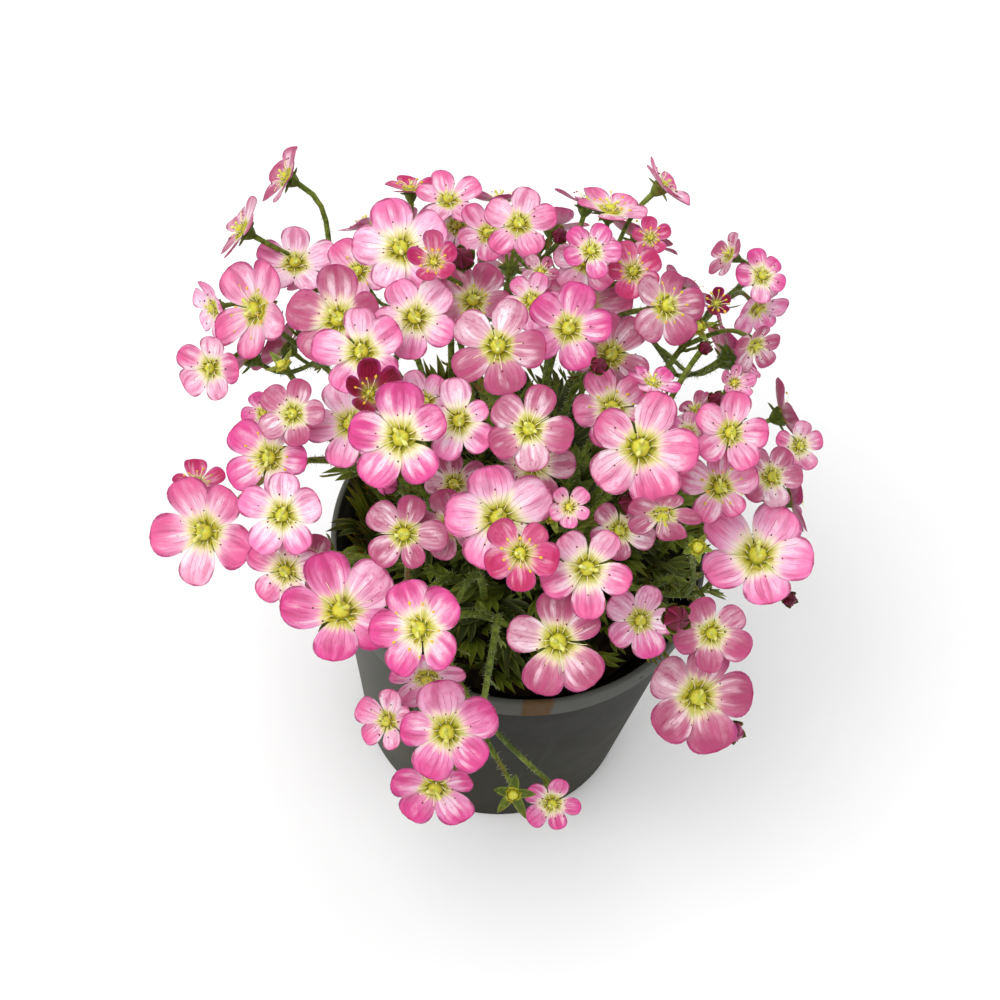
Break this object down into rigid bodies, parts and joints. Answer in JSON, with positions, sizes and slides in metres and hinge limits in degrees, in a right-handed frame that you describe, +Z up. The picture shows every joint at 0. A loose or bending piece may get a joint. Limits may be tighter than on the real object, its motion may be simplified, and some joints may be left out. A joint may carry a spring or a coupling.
{
  "type": "potted mossy saxifrage",
  "caption": "Mossy saxifrage in full bloom: a dome of pink five-petalled blooms on forked stems over a low leaf mound, in a round grey plastic plant pot.",
  "frame": {"origin": "centre of the underside of the pot's floor, on the surface that the pot stands on", "axes": "+Z up along the pot's axis, -Y towards the side that the picture shows, +X to the right of that view"},
  "size_m": [0.1541, 0.1587, 0.1697],
  "materials": {
    "pot_plastic": "moulded grey plastic, satin, scuffed",
    "compost": "dark fibrous compost",
    "foliage": "soft green leaves and hairy stems",
    "bloom": "thin pink petals with a pale base and fine veins"
  },
  "bodies": {
    "root": {"leaf_mound": "foliage", "pot": "pot_plastic", "soil": "compost", "spray_01": "bloom", "spray_02": "bloom", "spray_03": "bloom", "spray_04": "bloom", "spray_05": "bloom", "spray_06": "bloom", "spray_07": "bloom", "spray_08": "bloom", "spray_09": "bloom", "spray_10": "bloom", "spray_11": "bloom", "spray_12": "bloom", "spray_13": "bloom", "spray_14": "bloom", "spray_15": "bloom", "spray_16": "bloom", "spray_17": "bloom", "spray_18": "bloom", "spray_19": "bloom", "spray_20": "bloom", "spray_21": "bloom", "spray_22": "bloom", "spray_23": "bloom", "spray_24": "bloom", "spray_25": "bloom", "spray_26": "bloom", "spray_27": "bloom", "spray_28": "bloom", "spray_29": "bloom", "spray_30": "bloom", "spray_31": "bloom", "spray_32": "bloom", "spray_33": "bloom", "spray_34": "bloom"}
  },
  "joints": []
}
